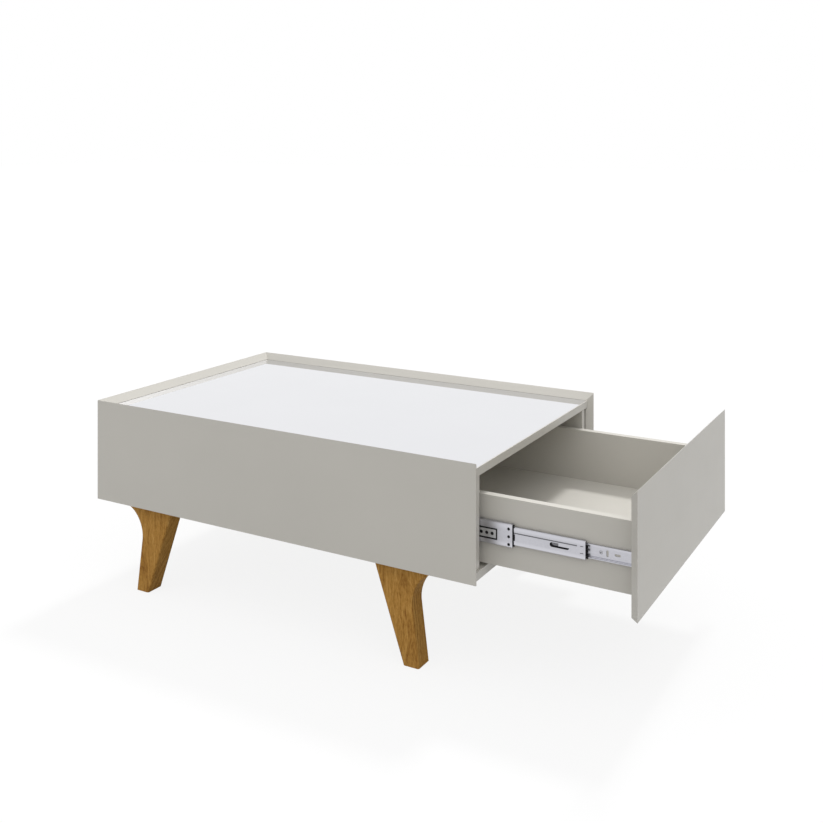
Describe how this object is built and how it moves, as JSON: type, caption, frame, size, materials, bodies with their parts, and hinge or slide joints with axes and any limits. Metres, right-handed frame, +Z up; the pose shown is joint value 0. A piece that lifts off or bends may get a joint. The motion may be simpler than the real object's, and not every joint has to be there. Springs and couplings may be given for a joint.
{
  "type": "coffee table",
  "caption": "Low rectangular coffee table: mirror top in a bevelled mitred frame, flared wooden legs and a wide handleless drawer on telescopic slides at an end.",
  "frame": {"origin": "on the floor, in the middle of the space that the table covers with its drawer open as at rest", "axes": "+X along the table's length towards the drawer's end, +Y to the back long panel, +Z up"},
  "size_m": [1.211, 0.6, 0.403],
  "materials": {
    "lacquer": "satin lacquer on board",
    "drawer_board": "matt coated board",
    "oak": "oiled grain",
    "dowel_wood": "raw",
    "mirror": "polished",
    "tape": "matt",
    "zinc_steel": "zinc plated",
    "fastener_steel": "zinc plated",
    "black_plastic": "matt"
  },
  "bodies": {
    "table": {"back_panel": "lacquer", "bottom_board": "lacquer", "cabinet_rail_screws": "fastener_steel", "cam_bolts": "fastener_steel", "cam_locks": "fastener_steel", "carcass_dowels": "dowel_wood", "cross_board": "lacquer", "front_panel": "lacquer", "inner_side_board_back": "lacquer", "inner_side_board_front": "lacquer", "left_end_panel": "lacquer", "leg_back_left": "oak", "leg_back_right": "oak", "leg_bolts": "fastener_steel", "leg_front_left": "oak", "leg_front_right": "oak", "mirror_tape": "tape", "mirror_top": "mirror", "panel_dowels": "dowel_wood", "slide_cabinet_rail_back": "zinc_steel", "slide_cabinet_rail_front": "zinc_steel", "top_board": "lacquer", "top_edge_strip": "lacquer"},
    "drawer": {"drawer_dowels": "dowel_wood", "drawer_face": "lacquer", "drawer_floor": "drawer_board", "drawer_rail_screws": "fastener_steel", "drawer_rear_board": "drawer_board", "drawer_side_back": "drawer_board", "drawer_side_front": "drawer_board", "slide_drawer_rail_back": "zinc_steel", "slide_drawer_rail_front": "zinc_steel"},
    "slide_stage_1": {"latch_plates": "zinc_steel", "latch_trays": "black_plastic", "slide_stage_1_back": "zinc_steel", "slide_stage_1_front": "zinc_steel"},
    "slide_stage_2": {"slide_stage_2_back": "zinc_steel", "slide_stage_2_front": "zinc_steel"},
    "cage_1": {"ball_cage_1_back": "black_plastic", "ball_cage_1_front": "black_plastic", "balls_1": "zinc_steel"},
    "cage_2": {"ball_cage_2_back": "black_plastic", "ball_cage_2_front": "black_plastic", "balls_2": "zinc_steel"},
    "cage_3": {"ball_cage_3_back": "black_plastic", "ball_cage_3_front": "black_plastic", "balls_3": "zinc_steel"}
  },
  "joints": [
    {"name": "drawer_slide", "type": "slide", "parent": "table", "child": "drawer", "axis": [1, 0, 0], "range_m": [-0.283, 0.077]},
    {"name": "stage_1_slide", "type": "slide", "parent": "table", "child": "slide_stage_1", "axis": [1, 0, 0], "range_m": [-0.0598, 0.0163]},
    {"name": "stage_2_slide", "type": "slide", "parent": "table", "child": "slide_stage_2", "axis": [1, 0, 0], "range_m": [-0.1951, 0.0532]},
    {"name": "cage_1_roll", "type": "slide", "parent": "table", "child": "cage_1", "axis": [1, 0, 0], "range_m": [-0.03, 0.0082]},
    {"name": "cage_2_roll", "type": "slide", "parent": "table", "child": "cage_2", "axis": [1, 0, 0], "range_m": [-0.1274, 0.0347]},
    {"name": "cage_3_roll", "type": "slide", "parent": "table", "child": "cage_3", "axis": [1, 0, 0], "range_m": [-0.2391, 0.0651]}
  ],
  "couplings": [
    {"joint": "stage_1_slide", "follows": "drawer_slide", "ratio": 0.211},
    {"joint": "stage_2_slide", "follows": "drawer_slide", "ratio": 0.689},
    {"joint": "cage_1_roll", "follows": "drawer_slide", "ratio": 0.1055},
    {"joint": "cage_2_roll", "follows": "drawer_slide", "ratio": 0.45},
    {"joint": "cage_3_roll", "follows": "drawer_slide", "ratio": 0.8445}
  ]
}
